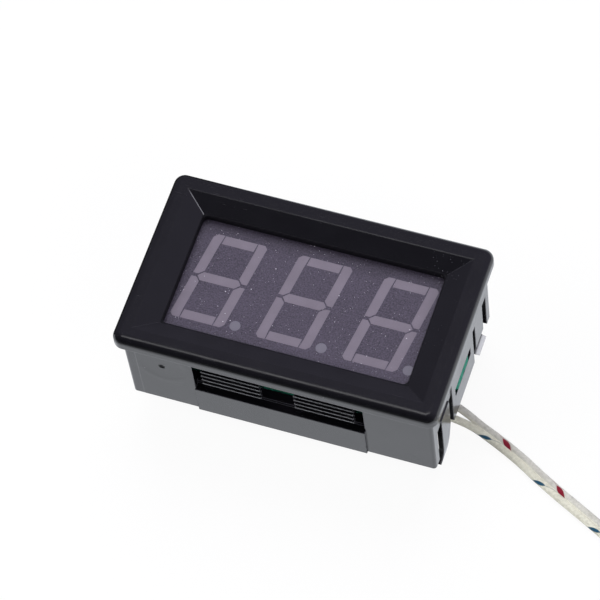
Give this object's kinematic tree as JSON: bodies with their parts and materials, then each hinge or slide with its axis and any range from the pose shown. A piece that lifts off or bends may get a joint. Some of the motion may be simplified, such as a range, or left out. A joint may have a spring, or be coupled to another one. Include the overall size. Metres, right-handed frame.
{
  "type": "digital panel meter",
  "caption": "Snap-in digital panel meter with a sloped black bezel, LED digits, ribbed grip tongues and hook legs, and a thermocouple lead with a probe.",
  "frame": {"origin": "on the surface that the legs stand on, under the middle of the bezel, the lead left out", "axes": "+Z the way the display faces, +X along the digits to the right, +Y to the digits' top"},
  "size_m": [0.1352, 0.0506, 0.0216],
  "materials": {
    "housing_plastic": "black moulded plastic, satin",
    "display_face": "grey painted display face behind a smoky film",
    "display_epoxy": "diffusing epoxy, unlit",
    "substrate_laminate": "uncoated laminate",
    "tinned_metal": "tinned",
    "board_green": "green solder mask",
    "solder": "solder",
    "chip_plastic": "moulded epoxy",
    "can_aluminium": "drawn aluminium",
    "capacitor_base_plastic": "black plastic",
    "resistor_black": "glazed black with tinned ends",
    "capacitor_ceramic": "ceramic with tinned ends",
    "socket_nylon": "natural nylon",
    "pin_brass": "plated brass",
    "conductor_metal": "bare alloy wire",
    "lead_braid": "glass-fibre braid with tracer threads",
    "tie_nylon": "white nylon",
    "sheath_steel": "stainless steel",
    "sleeve_rubber": "black heat-shrink"
  },
  "bodies": {
    "root": {"housing": "housing_plastic", "display_shell": "display_face", "display_potting": "display_epoxy", "display_substrate": "substrate_laminate", "display_pins": "tinned_metal", "main_board": "board_green", "pin_joints": "solder", "lead_joints": "solder", "controller_chip": "chip_plastic", "controller_leads": "tinned_metal", "amplifier_chip": "chip_plastic", "amplifier_leads": "tinned_metal", "regulator": "chip_plastic", "regulator_leads": "tinned_metal", "input_diode": "chip_plastic", "diode_terminals": "tinned_metal", "capacitor_can": "can_aluminium", "capacitor_base": "capacitor_base_plastic", "chip_resistors": "resistor_black", "chip_capacitors": "capacitor_ceramic", "power_socket": "socket_nylon", "power_pins": "pin_brass", "lead_conductors": "conductor_metal", "lead_run": "lead_braid", "lead_coil": "lead_braid", "lead_tail": "lead_braid", "lead_tie": "tie_nylon", "probe_sheath": "sheath_steel", "probe_sleeve": "sleeve_rubber"}
  },
  "joints": []
}
